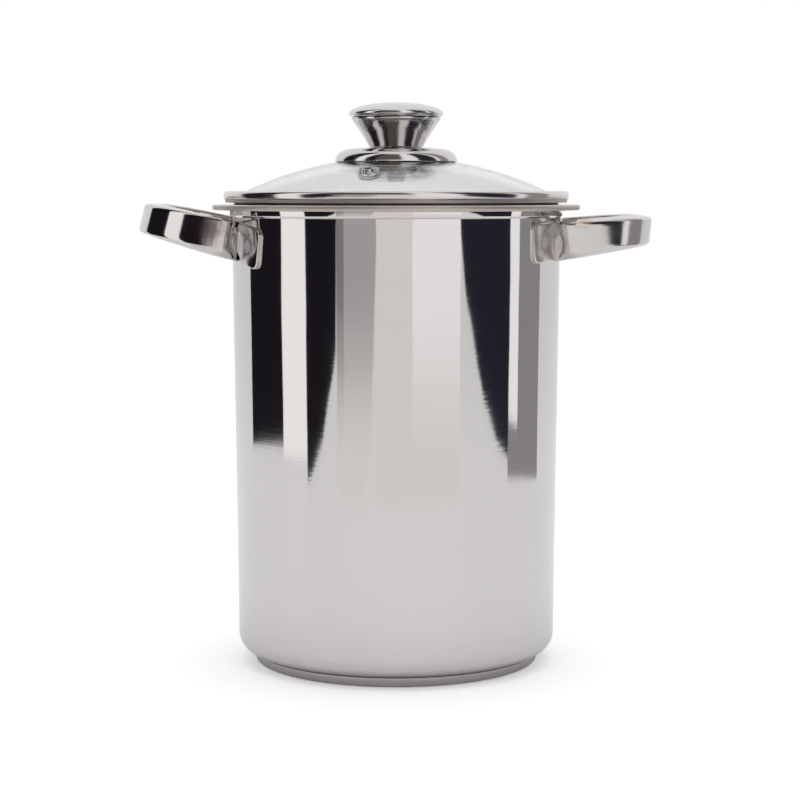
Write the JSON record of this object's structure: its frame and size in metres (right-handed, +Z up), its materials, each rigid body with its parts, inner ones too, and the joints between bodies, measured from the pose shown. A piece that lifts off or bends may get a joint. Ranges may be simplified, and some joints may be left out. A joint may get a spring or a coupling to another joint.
{
  "type": "stock pot",
  "caption": "Tall round stock pot with a rolled lip, a capped heat-spreading base, hollow bow handles at its sides and a lift-off domed glass lid with a steam vent and a flared knob.",
  "frame": {"origin": "centre of the underside of the base, where it stands", "axes": "+Z up along the pot's axis, X along the line through both handles, -Y towards the side with the steam vent"},
  "size_m": [0.2529, 0.1826, 0.277],
  "materials": {
    "polished_steel": "mirror-polished stainless steel with fine lines round the body",
    "handle_steel": "mirror-polished stainless steel with faint heat tint by the welds",
    "weld_steel": "matt grey spot weld",
    "base_steel": "satin stainless steel, turned",
    "aluminium_core": "plain cut disc",
    "clear_glass": "clear tempered glass",
    "fitting_steel": "bright stainless fittings",
    "silicone": "matt silicone rubber"
  },
  "bodies": {
    "pot": {"pot_body": "polished_steel", "handle_left": "handle_steel", "handle_right": "handle_steel", "weld_left_front": "weld_steel", "weld_left_rear": "weld_steel", "weld_right_front": "weld_steel", "weld_right_rear": "weld_steel", "base_cap": "base_steel", "base_core": "aluminium_core"},
    "lid": {"lid_glass": "clear_glass", "lid_rim": "polished_steel", "vent_eyelet": "fitting_steel", "vent_washer": "fitting_steel", "knob_base": "polished_steel", "knob_body": "polished_steel", "knob_cap": "polished_steel", "knob_insert": "fitting_steel", "knob_screw": "fitting_steel", "flat_washer": "fitting_steel", "spring_washer": "fitting_steel", "upper_seal": "silicone", "lower_seal": "silicone"}
  },
  "joints": [
    {"name": "lid_lift", "type": "slide", "parent": "pot", "child": "lid", "axis": [0, 0, 1], "range_m": [0, 0.1]}
  ]
}
